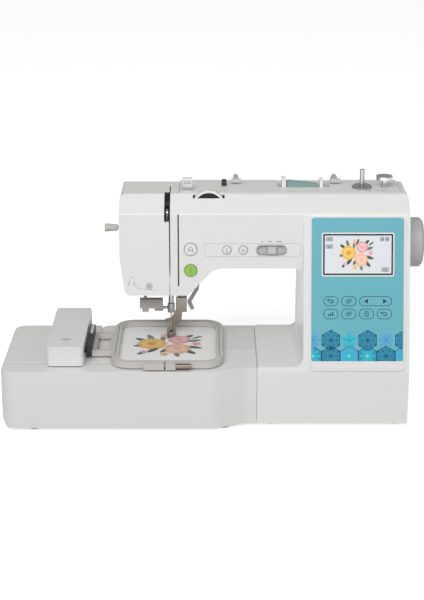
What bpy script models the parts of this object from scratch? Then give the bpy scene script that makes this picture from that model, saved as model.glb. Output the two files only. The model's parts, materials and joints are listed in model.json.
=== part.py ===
"""Sewing and embroidery machine with its embroidery unit attached, as separate solids in millimetres.

+X points to the right of the machine, -Y to the person using it and +Z up. The origin is under the middle.
"""

import math

import bmesh
import bpy
from mathutils import Matrix, Vector

MM = 0.001
GAP = 0.3  # between two pieces that meet

# Driving dimensions of the machine.
RIGHT = 236  # right side of the pillar and base
REAR = 104
WALL = 3
CASE_BOTTOM = 4.5
BED_TOP = 78
TOP = 276
HEAD_LEFT = -117
HEAD_FRONT = -38
HEAD_BOTTOM = 153
ARM_UNDER = 188
PILLAR_LEFT = 107
BASE_LEFT = 51
BASE_FRONT = -89
BASE_REAR = 64  # of the low part of the base, left of the pillar
FOLD = 257  # height where the front meets the sloping top band
BAND_TOP = -12  # where the band meets the flat top
PANEL_FOOT = 72  # height where the leaning front of the pillar starts
SPLIT = 30  # the front and rear covers meet here

# The needle line and the shafts.
NEEDLE = (-56, 16)
SHAFT_Z = 206
LOWER_SHAFT_Z = 46
HOOK = (-56, -6)
SEAM = NEEDLE[0] + 0.5  # the thread's way down the front, between the face cover and the front cover

# The embroidery unit and its hoop.
UNIT_LEFT = -261
UNIT_FRONT = -104
UNIT_REAR = 62
ARM_LEFT = -147
ARM_FRONT = -30
CARRIAGE = (-205, -160)
CARRIAGE_Y = (-88, 56)
CARRIAGE_Z = (79.6, 104.5)
SLOT_Y = -74
HOOP = (-59, -19)
HOOP_Z = (79.6, 87.6)
HOOP_HALF = (68.5, 76.5)
HOOP_CORNER = 24
HOOP_LINK = (-152, -126.5)
SLOT_X = (-253, -112)
RAIL_Z = 55
HOLDER_Y = (-60, -44)

# Controls, spool, winder and needle plate.
PANEL_X = (113.5, 231)
LID_X = (-44, 228)
LID_Y = (-6, 56)
HANDLE_X = (26, 150)
HINGE = (34, 280)  # y and z of the axis that the handle folds about
PLATE_X = (-98, -18)
PLATE_Y = (-4, 52)
WELL_X = (78, 142)
WELL_Y = (18.5, 54)
WELL_FLOOR = 249
SPOOL = (36.5, 269)  # y and z of the lying spool pin
WINDER = (181.5, 17)
STOPPER = (209, 17)
BUTTONS = {
    "reverse_button": (-30, 213, 7.4),
    "start_stop_button": (-30, 186, 7.4),
    "needle_position_button": (14, 212, 4.8),
    "thread_cutter_button": (34, 212, 4.8),
}
SLIDER = (50, 87)
SLIDER_Z = 211.7
DIAL = (-8, -13.5, 261)
DIAL_RADIUS = 20
THREADER = (-88, 5)
THREADER_Z = 228

PALETTE = {
    "shell": ((0.76, 0.76, 0.75), 0.42, 0),
    "grey": ((0.55, 0.56, 0.56), 0.5, 0),
    "dark": ((0.05, 0.05, 0.055), 0.45, 0),
    "panel": ((0.18, 0.52, 0.6), 0.3, 0),
    "screen": ((0.02, 0.025, 0.03), 0.12, 0),
    "green": ((0.3, 0.6, 0.03), 0.35, 0),
    "steel": ((0.6, 0.6, 0.61), 0.28, 1),
    "cast": ((0.35, 0.36, 0.37), 0.6, 1),
    "rubber": ((0.03, 0.03, 0.03), 0.8, 0),
    "thread": ((0.25, 0.42, 0.42), 0.7, 0),
    "cloth": ((0.85, 0.85, 0.84), 0.9, 0),
    "board": ((0.02, 0.18, 0.07), 0.5, 0),
    "clear": ((0.75, 0.8, 0.82), 0.1, 0),
}


def clear_scene():
    for item in list(bpy.data.objects):
        bpy.data.objects.remove(item, do_unlink=True)
    bpy.context.scene.unit_settings.scale_length = 1.0


def new_collection(name):
    made = bpy.data.collections.new(name)
    bpy.context.scene.collection.children.link(made)
    return made


clear_scene()
MACHINE = new_collection("embroidery_machine")
CUTTERS = new_collection("cutters")
CUTTERS.hide_render = True


# ---------------------------------------------------------------- shapes

def add_object(name, mesh):
    made = bpy.data.objects.new(name, mesh)
    MACHINE.objects.link(made)
    return made


def from_bmesh(name, shape):
    bmesh.ops.recalc_face_normals(shape, faces=shape.faces)
    mesh = bpy.data.meshes.new(name)
    shape.to_mesh(mesh)
    shape.free()
    return add_object(name, mesh)


def corners(outline):
    """Each corner of an outline with the directions to its neighbours."""
    points = [Vector(corner[:2]) for corner in outline]
    for index, corner in enumerate(outline):
        before = (points[index - 1] - points[index]).normalized()
        after = (points[(index + 1) % len(points)] - points[index]).normalized()
        yield points[index], corner[2] if len(corner) > 2 else 0, before, after


def rounded(outline, steps=5):
    """The outline's points, with an arc at each corner that gives a radius."""
    result = []
    for point, radius, before, after in corners(outline):
        half = before.angle(after) / 2
        if radius <= 0 or half > math.radians(89.5):
            result.append(point)
            continue
        start = point + before * (radius / math.tan(half))
        end = point + after * (radius / math.tan(half))
        centre = point + (before + after).normalized() * (radius / math.sin(half))
        arm = start - centre
        turn = arm.angle_signed(end - centre)
        for step in range(steps + 1):
            result.append(centre + Matrix.Rotation(-turn * step / steps, 2) @ arm)
    return result


def inset(outline, distance):
    """The same outline with every side moved inwards; its corners run anticlockwise."""
    result = []
    for point, radius, before, after in corners(outline):
        turn = (-before).cross(after)
        bend = math.sin(before.angle(after))
        sign = 1 if turn > 0 else -1
        moved = point + (before + after) * (sign * distance / bend)
        result.append((*moved, radius - sign * distance if radius > 0 else 0))
    return result


# Local X and Y of a flat outline, and the direction that it is extruded in.
PLANES = {
    "X": Matrix(((0, 0, 1), (1, 0, 0), (0, 1, 0))),
    "Y": Matrix(((1, 0, 0), (0, 0, -1), (0, 1, 0))),
    "Z": Matrix.Identity(3),
}


def prism(name, outline, axis, low, high, steps=5):
    """A flat outline extruded along an axis: (y, z) points for X, (x, z) for Y and (x, y) for Z."""
    points = rounded(outline, steps)
    curve = bpy.data.curves.new(name, "CURVE")
    curve.dimensions = "2D"
    curve.fill_mode = "BOTH"
    curve.extrude = (high - low) / 2 * MM
    spline = curve.splines.new("POLY")
    spline.points.add(len(points) - 1)
    for spot, point in zip(spline.points, points):
        spot.co = (point.x * MM, point.y * MM, 0, 1)
    spline.use_cyclic_u = True
    flat = bpy.data.objects.new(name + "_outline", curve)
    MACHINE.objects.link(flat)
    bpy.context.view_layer.update()
    graph = bpy.context.evaluated_depsgraph_get()
    mesh = bpy.data.meshes.new_from_object(flat.evaluated_get(graph))
    bpy.data.objects.remove(flat)
    shape = bmesh.new()
    shape.from_mesh(mesh)
    bpy.data.meshes.remove(mesh)
    bmesh.ops.remove_doubles(shape, verts=shape.verts, dist=1e-7)
    bmesh.ops.transform(shape, matrix=PLANES[axis].to_4x4(), verts=shape.verts)
    middle = {"X": (1, 0, 0), "Y": (0, 1, 0), "Z": (0, 0, 1)}[axis]
    bmesh.ops.translate(shape, vec=Vector(middle) * ((low + high) / 2 * MM), verts=shape.verts)
    return from_bmesh(name, shape)


def rectangle(low, high, radius=0):
    (left, bottom), (right, top) = low, high
    return [(left, bottom, radius), (right, bottom, radius), (right, top, radius), (left, top, radius)]


def box(name, low, high):
    low, high = Vector(low), Vector(high)
    shape = bmesh.new()
    place = Matrix.Translation((low + high) / 2 * MM) @ Matrix.Diagonal((*((high - low) * MM), 1))
    bmesh.ops.create_cube(shape, size=1, matrix=place)
    return from_bmesh(name, shape)


def rod(name, start, end, radius, end_radius=None, sides=24):
    """A round bar between two points; end_radius tapers it."""
    start, end = Vector(start), Vector(end)
    along = end - start
    shape = bmesh.new()
    place = Matrix.Translation((start + end) / 2 * MM) @ along.to_track_quat("Z", "Y").to_matrix().to_4x4()
    bmesh.ops.create_cone(
        shape,
        cap_ends=True,
        segments=sides,
        radius1=radius * MM,
        radius2=(radius if end_radius is None else end_radius) * MM,
        depth=along.length * MM,
        matrix=place,
    )
    return from_bmesh(name, shape)


def turned(name, profile, centre, axis, sides=32):
    """(radius, distance along the axis) points turned about the axis through the centre."""
    mesh = bpy.data.meshes.new(name)
    spots = [(radius * MM, 0, along * MM) for radius, along in profile]
    mesh.from_pydata(spots, [(spot, spot + 1) for spot in range(len(spots) - 1)], [])
    made = add_object(name, mesh)
    made.location = Vector(centre) * MM
    made.rotation_euler = {"X": (0, math.pi / 2, 0), "Y": (-math.pi / 2, 0, 0), "Z": (0, 0, 0)}[axis]
    screw = made.modifiers.new("Turn", "SCREW")
    screw.steps = screw.render_steps = sides
    screw.use_merge_vertices = True
    screw.merge_threshold = 0.00001
    return made


def tube(name, points, radius, bend=0, detail=2):
    """A round wire through the points, with each inner corner bent to a radius."""
    curve = bpy.data.curves.new(name, "CURVE")
    curve.dimensions = "3D"
    curve.bevel_depth = radius * MM
    curve.bevel_resolution = detail
    curve.use_fill_caps = True
    route = [Vector(points[0])]
    for before, point, after in zip(points, points[1:], points[2:]):
        corner = Vector(point)
        back = (Vector(before) - corner).normalized() * bend
        forward = (Vector(after) - corner).normalized() * bend
        for step in range(5):
            share = step / 4
            route.append(corner + back * (1 - share) ** 2 + forward * share**2)
    route.append(Vector(points[-1]))
    spline = curve.splines.new("POLY")
    spline.points.add(len(route) - 1)
    for spot, point in zip(spline.points, route):
        spot.co = (*(point * MM), 1)
    wire = bpy.data.objects.new(name + "_route", curve)
    MACHINE.objects.link(wire)
    bpy.context.view_layer.update()
    graph = bpy.context.evaluated_depsgraph_get()
    mesh = bpy.data.meshes.new_from_object(wire.evaluated_get(graph))
    bpy.data.objects.remove(wire)
    shape = bmesh.new()
    shape.from_mesh(mesh)
    bpy.data.meshes.remove(mesh)
    bmesh.ops.remove_doubles(shape, verts=shape.verts, dist=1e-7)
    return from_bmesh(name, shape)


def combine(target, other, operation):
    """Cuts, joins or keeps with another solid, which becomes a hidden helper."""
    if other.name not in CUTTERS.objects:
        MACHINE.objects.unlink(other)
        CUTTERS.objects.link(other)
        other.hide_render = True
        other.display_type = "WIRE"
    change = target.modifiers.new(other.name, "BOOLEAN")
    change.operation = operation
    change.solver = "EXACT"
    change.object = other


def cut(target, *others):
    for other in others:
        combine(target, other, "DIFFERENCE")


def join(target, *others):
    for other in others:
        combine(target, other, "UNION")


def keep(target, other):
    combine(target, other, "INTERSECT")


def on_axis(piece, point):
    """Puts the origin of a moving piece on its joint's axis."""
    shift = Vector(point) * MM - piece.location
    piece.data.transform(Matrix.Translation(-(piece.rotation_euler.to_matrix().inverted() @ shift)))
    piece.location = piece.location + shift


def paint(piece, finish):
    colour, roughness, metallic = PALETTE[finish]
    material = bpy.data.materials.new(piece.name)
    material.use_nodes = True
    surface = material.node_tree.nodes["Principled BSDF"]
    surface.inputs["Base Color"].default_value = (*colour, 1)
    surface.inputs["Roughness"].default_value = roughness
    surface.inputs["Metallic"].default_value = metallic
    piece.data.materials.clear()
    piece.data.materials.append(material)


# ---------------------------------------------------------------- casing

def side_outline(front, bottom):
    """The machine from the right: its front edge up to the fold, then the band, the top and the back."""
    top_and_back = [
        (BAND_TOP, TOP, 8),
        (48, TOP, 20),
        (84, 262, 20),
        (97, 236, 20),
        (REAR, 120, 30),
        (REAR, bottom, 0),
    ]
    return (front + top_and_back)[::-1]


def body_volume(name, shrink, bottom):
    """The space that the covers fill, shrunk by a wall for the inside."""
    front = [
        (HEAD_LEFT, TOP + 0.1, 8),
        (HEAD_LEFT, 200),
        (HEAD_LEFT + 6, HEAD_BOTTOM, 8),
        (-34, HEAD_BOTTOM, 3),
        (-2, 186, 6),
        (12, ARM_UNDER, 8),
        (PILLAR_LEFT, ARM_UNDER, 10),
        (PILLAR_LEFT, BED_TOP, 12),
        (BASE_LEFT, BED_TOP, 3),
        (BASE_LEFT, bottom),
        (RIGHT, bottom),
        (RIGHT, TOP + 0.1, 6),
    ]
    side = side_outline([(BASE_FRONT, bottom), (BASE_FRONT, PANEL_FOOT, 12), (HEAD_FRONT, FOLD, 6)], bottom)
    whole = prism(name, inset(front, shrink), "Y", -150, 150)
    keep(whole, prism(name + "_side", inset(side, shrink), "X", -150, 260))
    edge = PILLAR_LEFT + shrink
    arm_front = (edge, HEAD_FRONT + shrink, FOLD - 1 - shrink)
    cut(whole, box(name + "_arm_front", (-150, -150, BED_TOP + 14), arm_front))
    cut(whole, box(name + "_base_back", (0, BASE_REAR - shrink, -50), (edge, 200, BED_TOP + 14)))
    return whole


def covers():
    """The front, rear and face covers: parts of one shell, kept apart by the gap."""
    outside = body_volume("outside", 0, CASE_BOTTOM)
    inside = body_volume("inside", WALL, CASE_BOTTOM - 20)
    front = box("front_cover", (SEAM + 0.7, -150, 0), (RIGHT + 50, SPLIT, 350))
    rear = box("rear_cover", (HEAD_LEFT - 50, SPLIT + GAP, 0), (RIGHT + 50, REAR + 50, 350))
    face = box("face_cover", (HEAD_LEFT - 50, -150, 0), (SEAM - 0.7, SPLIT, 350))
    lid_low = (LID_X[0] - GAP, LID_Y[0] - GAP, TOP - WALL - 4)
    lid_room = box("lid_room", lid_low, (LID_X[1] + GAP, LID_Y[1] + GAP, TOP + 20))
    head_opening = box("head_opening", (-103, -16, 140), (-36, 38, 160))
    for piece in (front, rear, face):
        keep(piece, outside)
        cut(piece, inside, lid_room, head_opening)
        paint(piece, "shell")
    return front, rear, face


def front_openings(front):
    """What the front cover is cut for: the controls, the dial, the second thread channel and the shafts."""
    x_first, x_last = SLIDER
    for name, (x, z, radius) in BUTTONS.items():
        cut(front, rod(name + "_hole", (x, -60, z), (x, -20, z), radius + GAP))
    slot = rectangle((x_first, SLIDER_Z - 6.4), (x_last, SLIDER_Z + 6.4), 6)
    cut(front, prism("slider_slot", slot, "Y", -60, -20))
    cut(front, box("second_channel", (-45.8, -60, 165), (-44.2, HEAD_FRONT + 2, 290)))
    dial_low = (DIAL[0] - DIAL_RADIUS + 0.6, DIAL[1] - 4.7, 264)
    cut(front, box("dial_window", dial_low, (DIAL[0] + DIAL_RADIUS - 0.6, DIAL[1] + 4.7, 300)))
    cut(front, rod("wheel_hole", (RIGHT - 10, 16, SHAFT_Z), (RIGHT + 10, 16, SHAFT_Z), 8))
    cut(front, box("arm_way", (BASE_LEFT - 5, -20, 28), (BASE_LEFT + 10, 57, 72)))


def foot(x, y):
    top = CASE_BOTTOM + 2.5
    return turned(f"foot_{x}_{y}", [(0, top), (7, top), (8, 0), (0, 0)], (x, y, 0), "Z", 20)


def base_cover():
    outline = inset(
        [
            (BASE_LEFT, BASE_FRONT),
            (RIGHT, BASE_FRONT),
            (RIGHT, REAR),
            (PILLAR_LEFT, REAR),
            (PILLAR_LEFT, BASE_REAR),
            (BASE_LEFT, BASE_REAR),
        ],
        WALL + GAP,
    )
    cover = prism("bottom_cover", outline, "Z", CASE_BOTTOM, CASE_BOTTOM + 3)
    join(cover, *(foot(x, y) for x, y in ((68, -72), (220, -72), (220, 88), (124, 88))))
    paint(cover, "grey")


def top_lid():
    """The flat plate on top, with a well that holds half of the lying spool."""
    lid = box("top_cover", (LID_X[0], LID_Y[0], TOP - WALL), (LID_X[1], LID_Y[1], TOP))
    x_low, x_high = WELL_X
    y_low, y_high = WELL_Y
    join(lid, box("well_outside", (x_low - 2, y_low - 2, WELL_FLOOR - 2), (x_high + 2, y_high + 2, TOP - 1)))
    cut(lid, box("well_inside", (x_low, y_low, WELL_FLOOR), (x_high, y_high, TOP + 10)))
    cut(lid, box("winder_slot", (WINDER[0] - 5, WINDER[1] - 5, 260), (WINDER[0] + 10, WINDER[1] + 5, 290)))
    paint(lid, "shell")


def free_arm():
    """The arm that carries the needle plate, closed below and open towards the base."""
    front, right = ARM_FRONT + GAP, BASE_LEFT - GAP
    plan = [(ARM_LEFT, front, 12), (right, front), (right, UNIT_REAR), (ARM_LEFT, UNIT_REAR, 12)]
    arm = prism("free_arm_cover", plan, "Z", 30, BED_TOP)
    hollow = inset(plan, WALL)
    hollow[1] = (BASE_LEFT + 20, hollow[1][1], 0)
    hollow[2] = (BASE_LEFT + 20, hollow[2][1], 0)
    cut(arm, prism("arm_hollow", hollow, "Z", 30 + WALL, BED_TOP - WALL))
    plate_low = (PLATE_X[0] - GAP, PLATE_Y[0] - GAP, 60)
    cut(arm, box("plate_opening", plate_low, (PLATE_X[1] + GAP, PLATE_Y[1] + GAP, 90)))
    cut(arm, box("bobbin_opening", (HOOK[0] - 19.3, ARM_FRONT + 4.7, 60), (HOOK[0] + 19.3, PLATE_Y[0], 90)))
    paint(arm, "shell")


def panel():
    """The panel on the leaning front of the pillar: a frame, an overlay and the screen in its window."""
    lean = math.atan2(HEAD_FRONT - BASE_FRONT, FOLD - PANEL_FOOT)
    length = math.hypot(HEAD_FRONT - BASE_FRONT, FOLD - PANEL_FOOT)
    place = Matrix.Translation(Vector((0, BASE_FRONT, PANEL_FOOT)) * MM) @ Matrix.Rotation(-lean, 4, "X")

    def laid(name, low, high, radius, out_low, out_high):
        piece = prism(name, rectangle(low, high, radius), "Y", -out_high, -out_low)
        piece.data.transform(place)
        return piece

    left, right = PANEL_X
    low, high = 1.5, length - 1.5
    frame = laid("panel_frame", (left, low), (right, high), 6, GAP, 1.6)
    cut(frame, laid("panel_recess", (left + 2.6, low + 2.6), (right - 2.6, high - 2.6), 4, 0.8, 3))
    overlay = laid("panel_overlay", (left + 3, low + 3), (right - 3, high - 3), 4, 1.1, 1.5)
    x_low, z_low, x_high, z_high = left + 16.3, 118.3, left + 100.6, 167.4
    cut(overlay, laid("screen_window", (x_low, z_low), (x_high, z_high), 2, 0, 3))
    screen = laid("lcd_screen", (x_low + GAP, z_low + GAP), (x_high - GAP, z_high - GAP), 2, 1.1, 1.4)
    paint(frame, "shell")
    paint(overlay, "panel")
    paint(screen, "screen")
    board = laid("circuit_board", (left + 10, low + 40), (right - 10, high - 6), 2, -14, -12.4)
    paint(board, "board")


# ---------------------------------------------------------------- controls

def buttons():
    for name, (x, z, radius) in BUTTONS.items():
        cap = turned(name, [(0, 6), (radius, 6), (radius, -3), (0, -3)], (x, HEAD_FRONT + 4, z), "Y", 24)
        cap.rotation_euler = (math.pi / 2, 0, 0)
        paint(cap, "green" if name == "start_stop_button" else "shell")


def speed_slider():
    x, y, z = 69, HEAD_FRONT, SLIDER_Z
    knob = box("speed_slider", (x - 5.5, y - 3, z - 5), (x + 5.5, y - GAP, z + 5))
    join(knob, box("slider_stem", (x - 3, y - 1, z - 3), (x + 3, y + 7, z + 3)))
    paint(knob, "grey")


def tension_dial():
    x, y, z = DIAL
    dial = rod("tension_dial", (x, y - 4, z), (x, y + 4, z), DIAL_RADIUS, sides=48)
    on_axis(dial, DIAL)
    paint(dial, "grey")


def threader_lever():
    """A knob outside the face cover on a stem that goes through it to the rod of the needle threader."""
    x, y = THREADER
    lever = rod("threader_lever", (HEAD_LEFT - 20, y, THREADER_Z), (HEAD_LEFT - 4, y, THREADER_Z), 5.2, 4)
    join(lever, rod("threader_stem", (HEAD_LEFT - 6, y, THREADER_Z), (x + 1, y, THREADER_Z), 2.4, sides=12))
    join(lever, rod("threader_rod", (x, y, 134.3), (x, y, THREADER_Z + 2), 2, sides=12))
    join(lever, box("threader_hook", (-95, 0, 123), (-66, 8, 135)))
    join(lever, box("threader_guide", (-92, 1, 118), (-84, 7, 125)))
    paint(lever, "grey")


def handle():
    """The carrying handle, folded flat behind the top."""
    left, right = HANDLE_X
    bends = [(64, HINGE[1]), (99, 258)]
    points = [(left, *HINGE), *((left, *bend) for bend in bends)]
    points += [*((right, *bend) for bend in bends[::-1]), (right, *HINGE)]
    grip = tube("handle", points, 3.3, 12, 3)
    for x in HANDLE_X:
        join(grip, rod(f"handle_barrel_{x}", (x - 6, *HINGE), (x + 6, *HINGE), 3.2))
    on_axis(grip, ((left + right) / 2, *HINGE))
    paint(grip, "shell")


def spool_parts():
    y, z = SPOOL
    pin = rod("spool_pin", (WELL_X[0] + GAP, y, z), (WELL_X[1] - GAP, y, z), 2.6, sides=16)
    join(pin, rod("spool_rest", (130, y, z), (134, y, z), 14.6, sides=40))
    paint(pin, "shell")
    cap = rod("spool_cap", (83, y, z), (88, y, z), 16.5, 16, 40)
    cut(cap, rod("cap_bore", (80, y, z), (92, y, z), 2.9, sides=16))
    paint(cap, "shell")
    spool = rod("thread_spool", (88.6, y, z), (128, y, z), 12.6, 8.8, 36)
    cut(spool, rod("spool_bore", (86, y, z), (130, y, z), 2.9, sides=16))
    on_axis(spool, (108, y, z))
    paint(spool, "thread")


def bobbin_winder():
    x, y = WINDER
    shaft = rod("winder_shaft", (x, y, 262), (x, y, 299), 3.1, 2.9, 20)
    seat = [(0, 279), (11, 279), (12.5, 277.6), (12.5, 276.4), (0, 276.4)]
    join(shaft, turned("winder_seat", seat, (x, y, 0), "Z"))
    on_axis(shaft, (x, y, 280))
    paint(shaft, "steel")
    x, y = STOPPER
    profile = [(0, 291), (10.4, 291), (10.4, 286.5), (3.2, 286.5), (3.2, TOP + GAP), (0, TOP + GAP)]
    paint(turned("winder_stopper", profile, (x, y, 0), "Z"), "steel")


def thread_guides():
    guide = box("thread_guide", (-40, 4, TOP + GAP), (-28, 6, 292))
    join(guide, box("guide_foot", (-40, 4, TOP + GAP), (-28, 16, TOP + 1.8)))
    cut(guide, box("guide_slit", (-38, 0, 284), (-30, 10, 287)))
    paint(guide, "steel")
    knob = rod("pretension_knob", (11, 26, TOP + GAP), (11, 26, 284), 3.4, 3, 20)
    paint(knob, "dark")


# ---------------------------------------------------------------- mechanism

def chassis():
    """The cast frame behind the shafts, with a bearing arm forward to each of them."""
    y_low, y_high = 50, 56
    outline = [
        (-128, 34),
        (206, 34),
        (206, 240),
        (-78, 240),
        (-78, 196),
        (160, 196),
        (160, 62),
        (-128, 62),
    ]
    frame = prism("chassis", outline, "Y", y_low, y_high)
    bearings = [(-32, SHAFT_Z), (168, SHAFT_Z), (20, LOWER_SHAFT_Z), (168, LOWER_SHAFT_Z)]
    for number, (x, z) in enumerate(bearings):
        join(frame, box(f"bearing_arm_{number}", (x - 4, 4, z - 9), (x + 4, y_low + 2, z + 9)))
        cut(frame, rod(f"bearing_bore_{number}", (x - 9, 16, z), (x + 9, 16, z), 5.3, sides=24))
    paint(frame, "cast")


def main_drive():
    shaft = rod("main_shaft", (-40, 16, SHAFT_Z), (RIGHT + 4, 16, SHAFT_Z), 4.9, sides=24)
    join(shaft, rod("crank_disc", (-48, 16, SHAFT_Z), (-39, 16, SHAFT_Z), 14, sides=28))
    join(shaft, rod("timing_pulley", (176, 16, SHAFT_Z), (183, 16, SHAFT_Z), 15, sides=36))
    on_axis(shaft, (100, 16, SHAFT_Z))
    paint(shaft, "steel")
    wheel = [(0, 26), (9, 26), (11, 22.5), (27, 22.5), (31, 19), (31, 4)]
    wheel += [(28, 0.5), (9, 0.5), (9, 4.4), (0, 4.4)]
    handwheel = turned("handwheel", wheel, (RIGHT, 16, SHAFT_Z), "X", 40)
    paint(handwheel, "shell")
    pulley = rod("shaft_pulley", (186, 16, SHAFT_Z), (196, 16, SHAFT_Z), 26, sides=36)
    cut(pulley, rod("pulley_bore", (180, 16, SHAFT_Z), (200, 16, SHAFT_Z), 5.2))
    on_axis(pulley, (191, 16, SHAFT_Z))
    paint(pulley, "steel")
    belt("drive_belt", 188, 194, (SHAFT_Z, 26), (120, 7))
    belt("timing_belt", 177, 182, (SHAFT_Z, 15), (LOWER_SHAFT_Z, 15))
    motor = rod("motor", (140, 16, 120), (175, 16, 120), 24, sides=32)
    cut(motor, rod("motor_bore", (150, 16, 120), (180, 16, 120), 2.8, sides=16))
    paint(motor, "cast")
    rotor = rod("motor_shaft", (151, 16, 120), (197, 16, 120), 2.5, sides=16)
    join(rotor, rod("motor_pulley", (186, 16, 120), (196, 16, 120), 7))
    on_axis(rotor, (174, 16, 120))
    paint(rotor, "steel")
    lower = rod("lower_shaft", (-20, 16, LOWER_SHAFT_Z), (186, 16, LOWER_SHAFT_Z), 4.9, sides=24)
    join(lower, rod("lower_pulley", (176, 16, LOWER_SHAFT_Z), (183, 16, LOWER_SHAFT_Z), 15, sides=36))
    on_axis(lower, (83, 16, LOWER_SHAFT_Z))
    paint(lower, "steel")


def belt(name, low, high, upper, lower):
    """A belt round two pulleys, with the gap to their rims."""
    def band(extra):
        points = []
        for (z, radius), first in ((upper, 0), (lower, math.pi)):
            for step in range(13):
                angle = first + math.pi * step / 12
                reach = radius + extra
                points.append((16 + reach * math.cos(angle), z + reach * math.sin(angle)))
        return points

    strap = prism(name, band(2.4), "X", low, high)
    cut(strap, prism(name + "_inside", band(0.8), "X", low - 3, high + 3))
    paint(strap, "rubber")


def needle_parts():
    x, y = NEEDLE
    bar = rod("needle_bar", (x, y, 125.3), (x, y, 190), 3.4, sides=20)
    paint(bar, "steel")
    clamp = rod("needle_clamp", (x, y, 113), (x, y, 125), 4.6, sides=20)
    join(clamp, rod("clamp_screw", (x - 3, y, 119), (-67, y, 119), 1.8, sides=12))
    join(clamp, rod("clamp_knob", (-66, y, 119), (-77, y, 119), 4.6, 4.2, 20))
    paint(clamp, "steel")
    needle = rod("needle", (x, y, 88), (x, y, 112.7), 0.8, sides=10)
    join(needle, rod("needle_point", (x, y, 84), (x, y, 88.1), 0.15, 0.8, 10))
    paint(needle, "steel")


def take_up_lever():
    pivot = (12, 236)
    outline = [
        (8, 229, 3),
        (17, 230, 3),
        (16, 241, 3),
        (8, 244, 3),
        (-18, 256, 2),
        (-22, 260, 2),
        (-27, 255, 2),
        (-20, 249, 2),
    ]
    arm = prism("take_up_lever", outline, "X", SEAM - 4.5, SEAM - 2)
    cut(arm, rod("take_up_bore", (-70, *pivot), (-40, *pivot), 2.5, sides=16))
    cut(arm, rod("take_up_eye", (-70, -22.4, 254.8), (-40, -22.4, 254.8), 1.5, sides=12))
    on_axis(arm, (SEAM - 3, *pivot))
    paint(arm, "steel")


def presser_parts():
    x, y = -42, 22
    bar = rod("presser_bar", (x, y, 132.3), (x, y, 180), 3.8, sides=20)
    paint(bar, "steel")
    foot = box("embroidery_foot", (-48.5, y - 7, 113), (-36, y + 6, 132))
    leg = [(-50, 131), (-37, 131), (-38, 113), (-42, 111), (-43, 100), (-50.5, 92), (-50.5, 83.5)]
    leg += [(-61.5, 83.5), (-61.5, 88), (-57, 92), (-57, 97), (-64, 98), (-64, 101), (-56, 103), (-50, 114)]
    join(foot, prism("foot_leg", leg[::-1], "Y", NEEDLE[1] + 5, NEEDLE[1] + 7.8))
    ring = turned("foot_ring", [(3, 87), (5.6, 87), (6.2, 82.4), (3, 82.4), (3, 87)], (*NEEDLE, 0), "Z", 24)
    join(foot, ring)
    paint(foot, "steel")
    pivot = (-30, 60, 168)
    outline = [
        (-36, 164, 3),
        (-27, 160, 3),
        (-24.5, 136, 3),
        (-27.5, 127, 3),
        (-36.5, 112, 3),
        (-31.5, 101, 2),
        (-26.5, 101, 2),
        (-31, 112, 3),
        (-21.5, 128, 3),
        (-19, 140, 3),
        (-22, 172, 4),
        (-34, 174, 3),
    ]
    lever = prism("presser_lever", outline, "Y", pivot[1] - 2.5, pivot[1] + 2.5)
    on_axis(lever, pivot)
    paint(lever, "grey")


def stitching_parts():
    """The needle plate and what works below it."""
    plate = box("needle_plate", (PLATE_X[0], PLATE_Y[0], BED_TOP - 2), (PLATE_X[1], PLATE_Y[1], BED_TOP))
    cut(plate, rod("needle_hole", (*NEEDLE, 60), (*NEEDLE, 90), 2, sides=16))
    cut(plate, box("feed_slot", (-49, 0, 60), (-43, 34, 90)))
    paint(plate, "steel")
    lid_low = (HOOK[0] - 19, ARM_FRONT + 5, BED_TOP - 2)
    lid = box("bobbin_cover", lid_low, (HOOK[0] + 19, PLATE_Y[0] - 1, BED_TOP))
    paint(lid, "clear")
    feed = box("feed_dog", (-48, 11, 70), (-44, 32, 76.6))
    paint(feed, "steel")
    cup = [(15, 74), (15, 58), (2.5, 58), (2.5, 61), (13.6, 61), (13.6, 74), (15, 74)]
    hook = turned("rotary_hook", cup, (*HOOK, 0), "Z", 36)
    on_axis(hook, (*HOOK, 64))
    paint(hook, "steel")
    top_flange = [(3, 73), (10.2, 73), (10.2, 71.8), (7, 71.8)]
    bottom_flange = [(7, 63.4), (10.2, 63.4), (10.2, 62.2), (3, 62.2)]
    bobbin = turned("bobbin", [*top_flange, *bottom_flange, (3, 73)], (*HOOK, 0), "Z", 28)
    paint(bobbin, "clear")


def side_fittings():
    """The switch and sockets on the right side, below the handwheel."""
    rocker = box("power_switch", (RIGHT - 4, 10, 118), (RIGHT + 2.5, 24, 138))
    on_axis(rocker, (RIGHT - 1, 17, 128))
    paint(rocker, "dark")
    inlet = box("power_inlet", (RIGHT - 16, 2, 78), (RIGHT + 0.8, 27, 98))
    cut(inlet, box("inlet_socket", (RIGHT - 12, 5, 81), (RIGHT + 5, 24, 95)))
    paint(inlet, "dark")


# ---------------------------------------------------------------- embroidery unit

def unit_plan():
    """The L-shaped outline of the unit from above, with the long curve at its right front."""
    return [
        (UNIT_LEFT, UNIT_FRONT, 16),
        (0, UNIT_FRONT, 30),
        (38, BASE_FRONT, 24),
        (BASE_LEFT - GAP, BASE_FRONT),
        (BASE_LEFT - GAP, ARM_FRONT),
        (ARM_LEFT - GAP, ARM_FRONT),
        (ARM_LEFT - GAP, UNIT_REAR),
        (UNIT_LEFT, UNIT_REAR, 16),
    ]


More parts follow.
